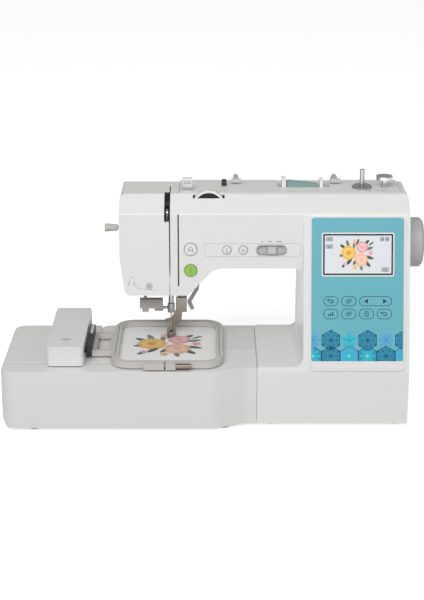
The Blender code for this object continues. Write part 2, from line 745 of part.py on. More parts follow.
def unit_case():
    case = prism("unit_case", unit_plan(), "Z", CASE_BOTTOM, BED_TOP)
    front = [(UNIT_LEFT, 0, 20), (BASE_LEFT + 20, 0), (BASE_LEFT + 20, BED_TOP), (UNIT_LEFT, BED_TOP, 4)]
    keep(case, prism("unit_front_shape", front, "Y", -150, 150))
    cut(case, prism("unit_hollow", inset(unit_plan(), WALL), "Z", -20, BED_TOP - WALL))
    slot_low, slot_high = SLOT_X
    cut(case, box("carriage_slot", (slot_low, SLOT_Y - 2, 60), (slot_high, SLOT_Y + 2, 90)))
    paint(case, "shell")
    floor = prism("unit_bottom", inset(unit_plan(), WALL + 3.5), "Z", CASE_BOTTOM + 2, CASE_BOTTOM + 4.5)
    join(floor, *(foot(x, y) for x, y in ((-222, -88), (10, -84), (-222, 44))))
    paint(floor, "grey")


def unit_drive():
    """The rail that the carriage runs on, and its motor."""
    rail = rod("x_rail", (UNIT_LEFT + 4, SLOT_Y, RAIL_Z), (-2, SLOT_Y, RAIL_Z), 4, sides=20)
    paint(rail, "steel")
    motor = box("x_motor", (2, SLOT_Y - 10, 30), (34, SLOT_Y + 22, 62))
    paint(motor, "cast")


def carriage():
    left, right = CARRIAGE
    front, back = CARRIAGE_Y
    base_z, top_z = CARRIAGE_Z
    base = box("carriage_base", (left + 4.5, front + 4.5, base_z), (right - 4.5, back - 4.5, base_z + 3))
    join(base, box("carriage_neck", (-195, SLOT_Y - 1.2, 60), (-170, SLOT_Y + 1.2, base_z + 1)))
    join(base, box("carriage_slider", (-200, SLOT_Y - 9, RAIL_Z - 9), (-165, SLOT_Y + 9, RAIL_Z + 9)))
    for name, y in (("rail_post_front", front + 8), ("rail_post_back", back - 8)):
        join(base, box(name, (left + 20, y - 2, base_z + 1), (left + 32, y + 2, 99)))
    join(base, rod("y_rail", (left + 26, front + 6, 94), (left + 26, back - 6, 94), 3, sides=16))
    cut(base, rod("rail_bore", (-210, SLOT_Y, RAIL_Z), (-150, SLOT_Y, RAIL_Z), 4.3, sides=20))
    paint(base, "cast")
    cover = prism("carriage_cover", rectangle((left, front), (right, back), 6), "Z", base_z, top_z)
    hollow = inset(rectangle((left, front), (right, back), 6), 2.4)
    cut(cover, prism("carriage_hollow", hollow, "Z", 0, top_z - 2.4))
    cut(cover, box("holder_slot", (right - 8, front + 10, base_z + 6), (right + 8, back - 9, base_z + 16)))
    paint(cover, "shell")


def frame_holder():
    left, right = CARRIAGE
    low, high = HOLDER_Y
    holder = box("frame_holder", (left + 18, low, 87), (right - 5, high, 100))
    cut(holder, rod("y_rail_bore", (left + 26, low - 9, 94), (left + 26, high + 9, 94), 3.3, sides=16))
    join(holder, box("holder_arm", (right - 8, low + 2, 87.5), (right + 3, high - 2, 93.5)))
    join(holder, box("holder_plate", (right + 1.5, -62, 84), (HOOP_LINK[0] - GAP, 14, 97)))
    paint(holder, "dark")
    pivot = (right + 5.4, -18, 97 + GAP)
    outline = rectangle((right + 3.6, -22), (right + 7.2, 6), 1.5)
    lever = prism("frame_lever", outline, "Z", pivot[2], pivot[2] + 3)
    on_axis(lever, pivot)
    paint(lever, "grey")


def hoop_outline(half, corner):
    x, y = HOOP
    return rectangle((x - half[0], y - half[1]), (x + half[0], y + half[1]), corner)


def hoop():
    x, y = HOOP
    low, high = HOOP_Z
    outline = hoop_outline(HOOP_HALF, HOOP_CORNER)
    outer = prism("hoop_outer", outline, "Z", low, high, 7)
    front = y - HOOP_HALF[1]
    join(outer, box("clamp_blocks", (x - 28, front - 7, low + 0.4), (x + 11, front + 2, high + 1)))
    left, right = HOOP_LINK
    join(outer, box("hoop_link", (left, -57, low + 1), (right, 10, low + 8)))
    cut(outer, box("link_window", (left + 4.5, -51, 0), (right - 5, 4, 200)))
    cut(outer, prism("hoop_opening", inset(outline, 4.2), "Z", low - 5, high + 5, 7))
    cut(outer, box("clamp_gap", (x - 3, front - 20, 0), (x - 1, front + 12, 200)))
    cut(outer, rod("clamp_bore", (x - 40, front - 4, 84), (x + 30, front - 4, 84), 1.9, sides=12))
    paint(outer, "grey")
    screw = rod("hoop_screw", (x - 27, front - 4, 84), (x + 13, front - 4, 84), 1.5, sides=12)
    join(screw, rod("screw_knob", (x + 12, front - 4, 84), (x + 30, front - 4, 84), 3.3, sides=20))
    on_axis(screw, (x, front - 4, 84))
    paint(screw, "steel")
    outline = hoop_outline((HOOP_HALF[0] - 4.6, HOOP_HALF[1] - 4.6), HOOP_CORNER - 4.6)
    inner = prism("hoop_inner", outline, "Z", low + 1.3, high - 0.4, 7)
    cut(inner, prism("field", inset(outline, 3.9), "Z", low - 5, high + 5, 7))
    paint(inner, "grey")
    cloth = prism("hooped_fabric", outline, "Z", low + 0.4, low + 1, 7)
    paint(cloth, "cloth")


# ---------------------------------------------------------------- the machine

def build():
    front, rear, face = covers()
    front_openings(front)
    x, y = THREADER
    cut(face, box("threader_slot", (HEAD_LEFT - 5, y - 4, 192), (HEAD_LEFT + 8, y + 4, THREADER_Z + 5)))
    cut(face, box("take_up_slot", (SEAM - 6.5, -60, 247), (SEAM, 4, 300)))
    cut(rear, box("presser_slot", (-48, 56, 120), (24, 64, 196)))
    cut(rear, box("arm_way_rear", (BASE_LEFT - 5, 0, 28), (BASE_LEFT + 10, 57, 72)))
    cut(front, box("switch_hole", (RIGHT - 9, 9.6, 117), (RIGHT + 9, 24.4, 139)))
    cut(front, box("inlet_hole", (RIGHT - 9, 1.7, 77.7), (RIGHT + 9, 27.3, 98.3)))
    base_cover()
    top_lid()
    free_arm()
    panel()
    buttons()
    speed_slider()
    tension_dial()
    threader_lever()
    handle()
    spool_parts()
    bobbin_winder()
    thread_guides()
    chassis()
    main_drive()
    needle_parts()
    take_up_lever()
    presser_parts()
    stitching_parts()
    side_fittings()
    unit_case()
    unit_drive()
    carriage()
    frame_holder()
    hoop()


build()
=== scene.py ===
import json
import math
import random

import bmesh
import bpy
from mathutils import Matrix, Vector


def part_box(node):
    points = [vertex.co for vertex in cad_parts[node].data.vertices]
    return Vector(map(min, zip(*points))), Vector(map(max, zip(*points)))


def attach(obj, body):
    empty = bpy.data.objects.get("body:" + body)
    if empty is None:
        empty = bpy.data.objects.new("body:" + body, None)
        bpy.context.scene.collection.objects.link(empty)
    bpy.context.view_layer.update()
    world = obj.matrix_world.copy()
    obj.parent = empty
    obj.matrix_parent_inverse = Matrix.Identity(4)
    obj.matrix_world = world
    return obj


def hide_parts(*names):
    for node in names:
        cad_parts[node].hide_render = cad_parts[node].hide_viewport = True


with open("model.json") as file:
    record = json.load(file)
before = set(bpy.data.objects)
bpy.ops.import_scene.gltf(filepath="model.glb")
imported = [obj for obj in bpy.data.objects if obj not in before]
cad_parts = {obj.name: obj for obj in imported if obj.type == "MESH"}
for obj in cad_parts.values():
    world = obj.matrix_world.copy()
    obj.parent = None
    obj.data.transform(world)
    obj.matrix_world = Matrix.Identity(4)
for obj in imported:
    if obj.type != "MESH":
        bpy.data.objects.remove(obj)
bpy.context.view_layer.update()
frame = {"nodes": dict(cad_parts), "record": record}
nodes = frame["nodes"]
mm = 0.001
random.seed(7)


# small helpers for node trees

def newGroup(name, inputs, outputs):
    group = bpy.data.node_groups.new(name, "ShaderNodeTree")
    for label, kind, value in inputs:
        socket = group.interface.new_socket(label, in_out="INPUT", socket_type=kind)
        socket.default_value = value
    for label, kind in outputs:
        group.interface.new_socket(label, in_out="OUTPUT", socket_type=kind)
    return group, group.nodes.new("NodeGroupInput"), group.nodes.new("NodeGroupOutput")


def noise(tree, coords, scale, detail=3.0, rough=0.5):
    node = tree.nodes.new("ShaderNodeTexNoise")
    node.inputs["Detail"].default_value = detail
    node.inputs["Roughness"].default_value = rough
    tree.links.new(coords, node.inputs["Vector"])
    if isinstance(scale, (int, float)):
        node.inputs["Scale"].default_value = scale
    else:
        tree.links.new(scale, node.inputs["Scale"])
    return node.outputs["Fac"]


def spread(tree, value, low, high):
    # maps 0..1 to low..high, either of which may be a socket
    node = tree.nodes.new("ShaderNodeMapRange")
    tree.links.new(value, node.inputs["Value"])
    for label, end in (("To Min", low), ("To Max", high)):
        if isinstance(end, (int, float)):
            node.inputs[label].default_value = end
        else:
            tree.links.new(end, node.inputs[label])
    return node.outputs["Result"]


def calc(tree, operation, first, second=None):
    node = tree.nodes.new("ShaderNodeMath")
    node.operation = operation
    for index, value in enumerate((first, second)):
        if value is None:
            continue
        if isinstance(value, (int, float)):
            node.inputs[index].default_value = value
        else:
            tree.links.new(value, node.inputs[index])
    return node.outputs[0]


def mixColour(tree, share, first, second, blend="MIX"):
    node = tree.nodes.new("ShaderNodeMix")
    node.data_type = "RGBA"
    node.blend_type = blend
    for label, value in (("Factor", share), ("A", first), ("B", second)):
        socket = next(s for s in node.inputs if s.name == label and s.enabled)
        if isinstance(value, (int, float, tuple)):
            socket.default_value = value
        else:
            tree.links.new(value, socket)
    return next(s for s in node.outputs if s.enabled)


# moulded plastic: spark-eroded grain, faint flow marks and a little dulling

def mouldedGroup():
    group, given, result = newGroup(
        "mouldedGrain",
        [("Colour", "NodeSocketColor", (0.8, 0.8, 0.8, 1)), ("Tint", "NodeSocketColor", (0.7, 0.7, 0.7, 1)),
         ("Grain", "NodeSocketFloat", 2200.0), ("Rough", "NodeSocketFloat", 0.4),
         ("Change", "NodeSocketFloat", 0.06)],
        [("Colour", "NodeSocketColor"), ("Roughness", "NodeSocketFloat"), ("Height", "NodeSocketFloat")],
    )
    coords = group.nodes.new("ShaderNodeTexCoord").outputs["Object"]
    broad = noise(group, coords, 14.0, 4.0, 0.55)
    fine = noise(group, coords, given.outputs["Grain"], 2.0, 0.6)
    mottled = spread(group, broad, 0.0, 0.35)
    colour = mixColour(group, mottled, given.outputs["Colour"], given.outputs["Tint"])
    low = calc(group, "SUBTRACT", given.outputs["Rough"], given.outputs["Change"])
    high = calc(group, "ADD", given.outputs["Rough"], given.outputs["Change"])
    group.links.new(colour, result.inputs["Colour"])
    group.links.new(spread(group, broad, low, high), result.inputs["Roughness"])
    group.links.new(fine, result.inputs["Height"])
    return group


# metal: long fine lines along one axis and a cloudy polish

def metalGroup():
    group, given, result = newGroup(
        "polishedMetal",
        [("Colour", "NodeSocketColor", (0.7, 0.7, 0.72, 1)), ("Rough", "NodeSocketFloat", 0.25),
         ("Stretch", "NodeSocketVector", (1.0, 1.0, 0.04))],
        [("Colour", "NodeSocketColor"), ("Roughness", "NodeSocketFloat"), ("Height", "NodeSocketFloat")],
    )
    coords = group.nodes.new("ShaderNodeTexCoord").outputs["Object"]
    scaled = group.nodes.new("ShaderNodeVectorMath")
    scaled.operation = "MULTIPLY"
    group.links.new(coords, scaled.inputs[0])
    group.links.new(given.outputs["Stretch"], scaled.inputs[1])
    lines = noise(group, scaled.outputs[0], 3200.0, 3.0, 0.6)
    cloud = noise(group, coords, 60.0, 3.0)
    shade = spread(group, lines, 0.82, 1.0)
    colour = mixColour(group, 1.0, given.outputs["Colour"], shade, "MULTIPLY")
    low = calc(group, "MULTIPLY", given.outputs["Rough"], 0.7)
    high = calc(group, "MULTIPLY", given.outputs["Rough"], 1.35)
    group.links.new(colour, result.inputs["Colour"])
    group.links.new(spread(group, cloud, low, high), result.inputs["Roughness"])
    group.links.new(lines, result.inputs["Height"])
    return group


# cloth: over and under threads with slight unevenness; the colour sinks to the Shade tone where the weave
# dips, which is painted shade, and in random patches, which is the cloth's own uneven tone

def weaveGroup():
    group, given, result = newGroup(
        "plainWeave",
        [("Colour", "NodeSocketColor", (0.9, 0.9, 0.88, 1)),
         ("Shade", "NodeSocketColor", (0.7, 0.7, 0.68, 1)),
         ("Threads", "NodeSocketFloat", 2600.0)],
        [("Colour", "NodeSocketColor"), ("Height", "NodeSocketFloat")],
    )
    coords = group.nodes.new("ShaderNodeTexCoord").outputs["Object"]
    split = group.nodes.new("ShaderNodeSeparateXYZ")
    group.links.new(coords, split.inputs[0])
    across = calc(group, "SINE", calc(group, "MULTIPLY", split.outputs["X"], given.outputs["Threads"]))
    along = calc(group, "SINE", calc(group, "MULTIPLY", split.outputs["Y"], given.outputs["Threads"]))
    cross = calc(group, "MULTIPLY", across, along)
    uneven = noise(group, coords, 900.0, 3.0)
    height = calc(group, "ADD", calc(group, "MULTIPLY", cross, 0.5), uneven)
    # painted shade in the weave's dips, mixed with a random change of tone
    share = spread(group, height, 0.0, 0.5)
    colour = mixColour(group, share, given.outputs["Shade"], given.outputs["Colour"])
    group.links.new(colour, result.inputs["Colour"])
    group.links.new(height, result.inputs["Height"])
    return group


# thread: rows of stitches that follow the piece's own UV map, each row darker towards the grooves between
# rows as painted shade and a little brighter on its crest as painted highlight

def stitchGroup():
    group, given, result = newGroup(
        "satinStitch",
        [("Colour", "NodeSocketColor", (0.9, 0.7, 0.3, 1)), ("Rows", "NodeSocketFloat", 60.0)],
        [("Colour", "NodeSocketColor"), ("Height", "NodeSocketFloat")],
    )
    uv = group.nodes.new("ShaderNodeUVMap")
    split = group.nodes.new("ShaderNodeSeparateXYZ")
    group.links.new(uv.outputs["UV"], split.inputs[0])
    wobble = noise(group, uv.outputs["UV"], 9.0, 2.0)
    shifted = calc(group, "ADD", split.outputs["Y"], calc(group, "MULTIPLY", wobble, 0.02))
    row = calc(group, "MULTIPLY", shifted, given.outputs["Rows"])
    wave = calc(group, "ABSOLUTE", calc(group, "SINE", row))
    # painted shade in the grooves between rows and a faint painted highlight on each row's crest
    shade = spread(group, wave, 0.62, 1.05)
    colour = mixColour(group, 1.0, given.outputs["Colour"], shade, "MULTIPLY")
    group.links.new(colour, result.inputs["Colour"])
    group.links.new(wave, result.inputs["Height"])
    return group


groups = {
    "moulded": mouldedGroup(),
    "metal": metalGroup(),
    "weave": weaveGroup(),
    "stitch": stitchGroup(),
}


def newMaterial(name, groupName, inputs, bump=(0.1, 0.0001), **fixed):
    # places a shared group in a new material and sets the shader's own fixed values
    material = bpy.data.materials.new(name)
    material.use_nodes = True
    tree = material.node_tree
    shader = tree.nodes["Principled BSDF"]
    group = tree.nodes.new("ShaderNodeGroup")
    group.node_tree = groups[groupName]
    for label, value in inputs.items():
        group.inputs[label].default_value = value
    tree.links.new(group.outputs["Colour"], shader.inputs["Base Color"])
    if "Roughness" in group.outputs:
        tree.links.new(group.outputs["Roughness"], shader.inputs["Roughness"])
    height = tree.nodes.new("ShaderNodeBump")
    height.inputs["Strength"].default_value = bump[0]
    height.inputs["Distance"].default_value = bump[1]
    tree.links.new(group.outputs["Height"], height.inputs["Height"])
    tree.links.new(height.outputs["Normal"], shader.inputs["Normal"])
    for label, value in fixed.items():
        shader.inputs[label.replace("_", " ")].default_value = value
    return material


def rgb(red, green, blue):
    # display colour (0..255) to linear
    def linear(value):
        value /= 255
        return value / 12.92 if value <= 0.04045 else ((value + 0.055) / 1.055) ** 2.4
    return (linear(red), linear(green), linear(blue), 1.0)


def plastic(name, colour, rough=0.4, change=0.05, grain=2200.0, bump=(0.06, 0.00008), dull=0.94,
            **fixed):
    tint = (colour[0] * dull, colour[1] * dull, colour[2] * dull, 1.0)
    values = {"Colour": colour, "Tint": tint, "Grain": grain, "Rough": rough, "Change": change}
    return newMaterial(name, "moulded", values, bump, **fixed)


def metal(name, colour, rough=0.22, stretch=(1.0, 1.0, 0.04), bump=(0.05, 0.00004)):
    values = {"Colour": colour, "Rough": rough, "Stretch": stretch}
    return newMaterial(name, "metal", values, bump, Metallic=1.0)


def thread(name, colour, rows=60.0):
    return newMaterial(name, "stitch", {"Colour": colour, "Rows": rows}, (0.6, 0.0002), Roughness=0.45,
                       Sheen_Weight=0.3, Sheen_Roughness=0.4)


finishes = {
    "shell": plastic("shellWhite", rgb(238, 238, 236), 0.36, 0.05, Coat_Weight=0.12),
    "unit": plastic("unitWhite", rgb(232, 232, 230), 0.4, 0.05),
    "bed": plastic("bedWhite", rgb(226, 226, 224), 0.42, 0.05),
    "trim": plastic("trimGrey", rgb(196, 196, 194), 0.5, 0.05),
    "hoopGrey": plastic("hoopGrey", rgb(204, 201, 196), 0.45, 0.06),
    "dark": plastic("darkPlastic", rgb(52, 53, 55), 0.5, 0.06),
    # black: painted shade inside the second thread channel, and the tension dial's ticks and middle disc
    "black": plastic("blackShadeAndDial", rgb(20, 20, 21), 0.7, 0.05),
    "rubber": plastic("footRubber", rgb(40, 40, 41), 0.8, 0.06, 900.0, (0.2, 0.0002)),
    "green": plastic("startGreen", rgb(140, 200, 52), 0.3, 0.04, Coat_Weight=0.4),
    "chrome": metal("chromed", rgb(212, 213, 216), 0.12),
    "steel": metal("polishedSteel", rgb(196, 196, 198), 0.24),
    "warmSteel": metal("warmSteel", rgb(176, 170, 160), 0.34),
    "cast": metal("castFrame", rgb(130, 132, 134), 0.5, (1.0, 1.0, 1.0), (0.3, 0.0002)),
    "board": plastic("solderMask", rgb(24, 96, 58), 0.35, 0.05),
    "clear": plastic("clearCover", rgb(205, 212, 216), 0.15, 0.03),
    "threaderGrey": plastic("threaderGrey", rgb(198, 197, 194), 0.5, 0.05),
    "spoolThread": plastic("spoolThread", rgb(132, 170, 168), 0.6, 0.05, 1600.0, (0.2, 0.0001), 0.8,
                           Sheen_Weight=0.3),
    "brownMetal": metal("brownMetal", rgb(150, 136, 124), 0.4),
    "print": plastic("printedGrey", rgb(120, 122, 124), 0.5, 0.03),
    "cloth": newMaterial(
        "hoopedCloth", "weave",
        # Shade: painted shade in the weave's dips and the cloth's random darker patches
        {"Colour": rgb(252, 252, 252), "Shade": rgb(238, 238, 238), "Threads": 5200.0},
        (0.25, 0.0003), Roughness=0.85, Sheen_Weight=0.2, Sheen_Roughness=0.5,
    ),
}
print("materials ready")


# pieces

def finish(name, shape, material, body="machine", smooth=30):
    # turns a bmesh into a shown piece that rides on a body
    mesh = bpy.data.meshes.new(name)
    shape.to_mesh(mesh)
    shape.free()
    piece = bpy.data.objects.new(name, mesh)
    bpy.context.scene.collection.objects.link(piece)
    for item in material if isinstance(material, list) else [material]:
        mesh.materials.append(item)
    mesh.shade_smooth()
    if smooth < 180:
        mesh.set_sharp_from_angle(angle=math.radians(smooth))
    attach(piece, body)
    return piece


def bodyOf(node):
    return next(body for body, members in frame["record"]["behaviour"]["bodies"].items() if node in members)


def softened(node, material, width=0.8, segments=3, angle=30):
    # the CAD shape with its sharp edges rounded off
    shape = bmesh.new()
    shape.from_mesh(nodes[node].data)
    bmesh.ops.remove_doubles(shape, verts=shape.verts, dist=0.01 * mm)
    bmesh.ops.dissolve_limit(shape, angle_limit=math.radians(0.8), verts=shape.verts, edges=shape.edges)
    sharp = [edge for edge in shape.edges
             if len(edge.link_faces) == 2 and edge.calc_face_angle() > math.radians(angle)]
    bmesh.ops.bevel(shape, geom=sharp, offset=width * mm, offset_type="OFFSET", segments=segments,
                    profile=0.5, affect="EDGES", clamp_overlap=True, material=-1)
    piece = finish(node + "Moulded", shape, material, bodyOf(node), 40)
    even = piece.modifiers.new("even", "WEIGHTED_NORMAL")
    even.keep_sharp = True
    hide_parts(node)
    return piece


def dress(material, *names):
    for name in names:
        data = nodes[name].data
        data.materials.clear()
        data.materials.append(material)


# floor, light and camera

def studio():
    shape = bmesh.new()
    bmesh.ops.create_grid(shape, x_segments=2, y_segments=2, size=6.0)
    mesh = bpy.data.meshes.new("paleFloor")
    shape.to_mesh(mesh)
    shape.free()
    floor = bpy.data.objects.new("paleFloor", mesh)
    bpy.context.scene.collection.objects.link(floor)
    mesh.materials.append(plastic("paleFloor", rgb(250, 250, 250), 0.75, 0.05, 300.0,
                                  Emission_Color=(1, 1, 1, 1), Emission_Strength=lighting["backdrop"]))
    floor.visible_diffuse = False
    world = bpy.data.worlds.new("paleRoom")
    bpy.context.scene.world = world
    world.use_nodes = True
    sky = world.node_tree.nodes["Background"]
    sky.inputs["Color"].default_value = (1.0, 1.0, 1.0, 1.0)
    sky.inputs["Strength"].default_value = lighting["room"]
    for name, spot, size, power in lighting["lamps"]:
        data = bpy.data.lights.new(name, "AREA")
        data.shape = "RECTANGLE"
        data.size, data.size_y = size
        data.energy = power
        lamp = bpy.data.objects.new(name, data)
        lamp.location = spot
        aim = Vector(lighting["aim"]) - Vector(spot)
        lamp.rotation_euler = aim.to_track_quat("-Z", "Y").to_euler()
        bpy.context.scene.collection.objects.link(lamp)
    data = bpy.data.cameras.new("frontCamera")
    data.lens = viewpoint["lens"]
    camera = bpy.data.objects.new("frontCamera", data)
    camera.location = viewpoint["spot"]
    camera.rotation_euler = (math.radians(90 - viewpoint["pitch"]), 0.0, 0.0)
    bpy.context.scene.collection.objects.link(camera)
    bpy.context.scene.camera = camera
    bpy.context.scene.view_settings.view_transform = "Standard"


viewpoint = {"lens": 90.0, "spot": (-0.004, -1.785, 0.749), "pitch": 19.0}
lighting = {
    "room": 0.35,
    "aim": (0.0, 0.0, 0.12),
    "backdrop": 0.6,  # the pale floor's own light, which keeps it white behind the machine
    "lamps": [
        ("keyLamp", (-0.4, -1.9, 1.75), (1.9, 1.1), 39.0),
        ("fillLamp", (1.3, -1.7, 1.5), (1.2, 1.0), 4.0),
    ],
}
studio()


# cases and covers

for node in ("front_cover", "rear_cover", "face_cover", "top_cover"):
    softened(node, finishes["shell"], 0.9)
softened("unit_case", finishes["unit"], 1.2)
softened("free_arm_cover", finishes["bed"], 0.8)
softened("carriage_cover", finishes["unit"], 1.6, 4)
softened("handwheel", finishes["trim"], 0.9)
softened("panel_frame", finishes["shell"], 0.4, 2)
softened("bottom_cover", finishes["trim"], 0.5, 2)
softened("unit_bottom", finishes["trim"], 0.5, 2)
softened("handle", finishes["trim"], 0.8, 2, 40)
softened("spool_cap", finishes["shell"], 0.8)
softened("spool_pin", finishes["shell"], 0.6)
softened("hoop_outer", finishes["hoopGrey"], 0.7)
softened("hoop_inner", finishes["hoopGrey"], 0.7)
softened("frame_holder", finishes["dark"], 0.6)
softened("frame_lever", finishes["trim"], 0.5)
softened("threader_lever", finishes["threaderGrey"], 0.5)
softened("presser_lever", finishes["hoopGrey"], 0.8)
softened("embroidery_foot", finishes["warmSteel"], 0.35, 2)
softened("needle_clamp", finishes["steel"], 0.4)
softened("needle_bar", finishes["steel"], 0.4)
softened("winder_stopper", finishes["chrome"], 0.5)
softened("thread_guide", finishes["steel"], 0.25, 2)
softened("pretension_knob", finishes["dark"], 0.6)
softened("speed_slider", finishes["trim"], 0.8)
softened("take_up_lever", finishes["steel"], 0.3, 2)
dress(finishes["steel"], "main_shaft", "shaft_pulley", "motor_shaft", "lower_shaft", "needle", "presser_bar",
      "needle_plate", "feed_dog", "rotary_hook", "winder_shaft", "x_rail")
dress(finishes["cast"], "chassis", "motor", "x_motor", "carriage_base")
dress(finishes["dark"], "power_switch", "power_inlet")
dress(finishes["rubber"], "drive_belt", "timing_belt")
dress(finishes["board"], "circuit_board")
dress(finishes["clear"], "bobbin_cover", "bobbin")
for node in ("reverse_button", "needle_position_button", "thread_cutter_button"):
    softened(node, finishes["shell"], 0.5, 2)
softened("start_stop_button", finishes["green"], 0.7, 3)
print("cases dressed")

# the panel's own flat frame: x to the right and y up along the leaning face, from the overlay's
# lower left corner; the head's front has another, with y as the height over the ground

overlayLow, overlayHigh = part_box("panel_overlay")
lean = math.atan2(overlayHigh[1] - overlayLow[1], overlayHigh[2] - overlayLow[2])
onPanel = Matrix.Translation(overlayLow) @ Matrix.Rotation(math.pi / 2 - lean, 4, "X")
panelWidth = (overlayHigh[0] - overlayLow[0]) / mm
panelHeight = math.hypot(overlayHigh[1] - overlayLow[1], overlayHigh[2] - overlayLow[2]) / mm
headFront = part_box("face_cover")[0][1]
onHead = Matrix.Translation((0.0, headFront, 0.0)) @ Matrix.Rotation(math.pi / 2, 4, "X")


def boxOf(node):
    low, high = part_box(node)
    return [value / mm for value in low], [value / mm for value in high]


def addSlab(shape, low, high, rise, radius=0.0, hole=0.0, material=0):
    # a flat rounded plate, or with a hole a flat frame, on the local x, y plane in millimetres
    width, height = high[0] - low[0], high[1] - low[1]
    middle = ((low[0] + high[0]) / 2, (low[1] + high[1]) / 2, rise[0])
    made = bmesh.new()
    bmesh.ops.create_grid(made, x_segments=1, y_segments=1, size=0.5,
                          matrix=Matrix.Translation(middle) @ Matrix.Diagonal((width, height, 1, 1)))
    if radius:
        bmesh.ops.bevel(made, geom=made.verts[:], offset=radius, segments=6, profile=0.5,
                        affect="VERTICES", material=-1)
    if hole:
        inner = made.faces[:]
        bmesh.ops.inset_region(made, faces=inner, thickness=hole, use_boundary=True)
        bmesh.ops.delete(made, geom=inner, context="FACES")
    extrudeUp(made, rise[1] - rise[0])
    append(shape, made, material)


def extrudeUp(made, height):
    # gives flat faces a thickness with the first faces as the floor
    floor = made.faces[:]
    grown = bmesh.ops.extrude_face_region(made, geom=floor, use_keep_orig=True)
    lifted = [item for item in grown["geom"] if isinstance(item, bmesh.types.BMVert)]
    bmesh.ops.translate(made, vec=(0, 0, height), verts=lifted)
    bmesh.ops.recalc_face_normals(made, faces=made.faces)


def append(shape, made, material=0):
    # adds one bmesh to another
    for face in made.faces:
        face.material_index = material
    mesh = bpy.data.meshes.new("joined")
    made.to_mesh(mesh)
    made.free()
    shape.from_mesh(mesh)
    bpy.data.meshes.remove(mesh)


def addDisc(shape, centre, radius, rise, sides=32, material=0, turn=0.0, hole=0.0):
    # a round or few-sided plate, or a ring where hole gives its inner radius
    made = bmesh.new()
    spot = Matrix.Translation((centre[0], centre[1], rise[0])) @ Matrix.Rotation(turn, 4, "Z")
    bmesh.ops.create_circle(made, cap_ends=True, radius=radius, segments=sides, matrix=spot)
    if hole:
        inner = made.faces[:]
        bmesh.ops.inset_region(made, faces=inner, thickness=radius - hole, use_boundary=True)
        bmesh.ops.delete(made, geom=inner, context="FACES")
    extrudeUp(made, rise[1] - rise[0])
    append(shape, made, material)


def addPetal(shape, centre, angle, length, width, height, material=0, lift=0.0, rings=6):
    # a flattened egg whose rows of stitches lie across it
    made = bmesh.new()
    made.loops.layers.uv.new("rows")
    bmesh.ops.create_uvsphere(made, u_segments=12, v_segments=rings, radius=1.0, calc_uvs=True)
    spot = (Matrix.Translation((centre[0], centre[1], lift)) @ Matrix.Rotation(angle, 4, "Z")
            @ Matrix.Diagonal((length / 2, width / 2, height, 1)) @ Matrix.Rotation(math.pi / 2, 4, "Y"))
    bmesh.ops.transform(made, matrix=spot, verts=made.verts)
    append(shape, made, material)


def place(shape, matrix):
    # takes a shape drawn in millimetres on a flat frame to its place on the machine
    bmesh.ops.scale(shape, vec=(mm, mm, mm), verts=shape.verts)
    bmesh.ops.transform(shape, matrix=matrix, verts=shape.verts)
    return shape


# bouquet of layered flowers and leaves, used as stitches on the cloth and as the picture on the screen

bouquet = {
    # place in a square of side 2, size, petals in each ring and the rings' tones from outside to inside
    "flowers": [
        ((-0.46, 0.1), 0.46, (8, 7, 5), (0, 1, 2)),
        ((0.3, 0.42), 0.36, (7, 6, 4), (3, 4, 3)),
        ((0.26, -0.3), 0.42, (8, 6, 5), (5, 6, 5)),
    ],
    "buds": [((0.78, 0.1), 0.15, 3), ((-0.12, 0.74), 0.14, 5), ((-0.66, -0.52), 0.14, 4),
             ((-0.1, -0.72), 0.13, 0)],
    # place, turn and length
    "leaves": [
        ((-0.9, 0.5), 2.5, 0.5), ((-0.62, 0.72), 1.9, 0.5), ((-0.95, -0.05), 3.3, 0.42),
        ((-0.5, -0.45), 4.1, 0.5), ((-0.2, 0.58), 1.5, 0.44), ((0.05, 0.85), 1.2, 0.4),
        ((0.62, 0.78), 0.8, 0.5), ((0.85, 0.42), 0.3, 0.46), ((0.86, -0.2), -0.3, 0.5),
        ((0.72, -0.62), -0.8, 0.5), ((0.3, -0.85), -1.4, 0.44), ((-0.12, -0.5), -2.1, 0.42),
        ((-0.85, -0.72), 3.9, 0.4), ((0.98, 0.75), 0.6, 0.34),
    ],
    "ringReach": (0.68, 0.42, 0.16),  # how far each ring of petals sits from the flower's middle
    "ringPetal": (0.7, 0.58, 0.4),  # petal length in each ring
}


def addBouquet(shape, centre, size, relief):
    x, y = centre
    for index, ((across, up), turn, length) in enumerate(bouquet["leaves"]):
        at = (x + across * size * 0.82, y + up * size * 0.82)
        long = length * size
        addPetal(shape, at, turn, long, long * 0.36, relief, firstLeafTone + index % 3, relief * 0.2)
        addPetal(shape, at, turn, long * 0.8, long * 0.05, relief * 1.2,
                 firstLeafTone + (index + 1) % 3, relief * 0.25)
    for (across, up), radius, tone in bouquet["buds"]:
        for number in range(5):
            angle = number * 2 * math.pi / 5 + across
            at = (x + (across + math.cos(angle) * radius * 0.5) * size,
                  y + (up + math.sin(angle) * radius * 0.5) * size)
            addPetal(shape, at, angle, radius * size, radius * size * 0.7, relief, tone, relief * 0.4)
    for (across, up), radius, counts, tones in bouquet["flowers"]:
        for ring, (count, tone) in enumerate(zip(counts, tones)):
            reach = radius * bouquet["ringReach"][ring]
            broad = radius * bouquet["ringPetal"][ring]
            for number in range(count):
                angle = (number + 0.37 * ring) * 2 * math.pi / count + random.uniform(-0.08, 0.08)
                at = (x + (across + math.cos(angle) * reach) * size,
                      y + (up + math.sin(angle) * reach) * size)
                addPetal(shape, at, angle + math.pi / 2, broad * size, broad * size * 0.72, relief,
                         tone, relief * (0.5 + 0.55 * ring + 0.12 * (number % 2)))
        heart = radius * 0.3 * size
        addPetal(shape, (x + across * size, y + up * size), 0.3, heart, heart, relief, tones[2], relief * 2.4)


